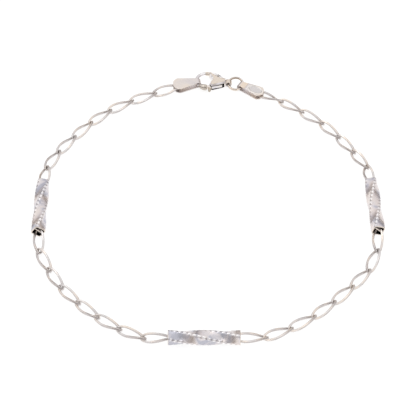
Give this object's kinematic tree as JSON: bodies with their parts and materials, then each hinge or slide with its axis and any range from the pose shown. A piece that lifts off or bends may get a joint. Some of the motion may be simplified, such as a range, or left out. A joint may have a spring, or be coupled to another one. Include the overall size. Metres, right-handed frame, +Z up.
{
  "type": "chain bracelet",
  "caption": "White metal bracelet: fine chain of open twisted links with hollow twisted bars, folded end tags, a jump ring and a lobster clasp, laid in a closed loop.",
  "frame": {"origin": "middle of the loop's bounding box, on the surface that the loop lies on", "axes": "+Z up from the surface, +Y towards the clasp, +X from the left bar to the right bar"},
  "size_m": [0.0604, 0.0654, 0.0025],
  "materials": {
    "link_metal": "polished white metal, flat-cut wire",
    "bar_metal": "satin white metal with bright notched ridges",
    "tag_metal": "brushed white metal sheet",
    "ring_metal": "polished white metal",
    "clasp_metal": "polished white metal"
  },
  "bodies": {
    "bracelet": {"link_01": "link_metal", "link_02": "link_metal", "link_03": "link_metal", "link_04": "link_metal", "link_05": "link_metal", "link_06": "link_metal", "link_07": "link_metal", "link_08": "link_metal", "link_09": "link_metal", "link_10": "link_metal", "link_11": "link_metal", "link_12": "link_metal", "link_13": "link_metal", "link_14": "link_metal", "link_15": "link_metal", "link_16": "link_metal", "link_17": "link_metal", "link_18": "link_metal", "link_19": "link_metal", "link_20": "link_metal", "link_21": "link_metal", "link_22": "link_metal", "link_23": "link_metal", "link_24": "link_metal", "link_25": "link_metal", "link_26": "link_metal", "link_27": "link_metal", "link_28": "link_metal", "link_29": "link_metal", "link_30": "link_metal", "link_31": "link_metal", "bar_left": "bar_metal", "bar_front": "bar_metal", "bar_right": "bar_metal", "end_tag_left": "tag_metal", "end_tag_right": "tag_metal", "jump_ring": "ring_metal", "clasp_body": "clasp_metal"},
    "lever": {"clasp_lever": "clasp_metal"}
  },
  "joints": [
    {"name": "clasp_lever_hinge", "type": "hinge", "parent": "bracelet", "child": "lever", "pos_m": [0.00224, 0.02936, 0.00081], "axis": [0, 0, 1], "range_deg": [0, 25], "stiffness_Nm_per_rad": 0.00002}
  ]
}
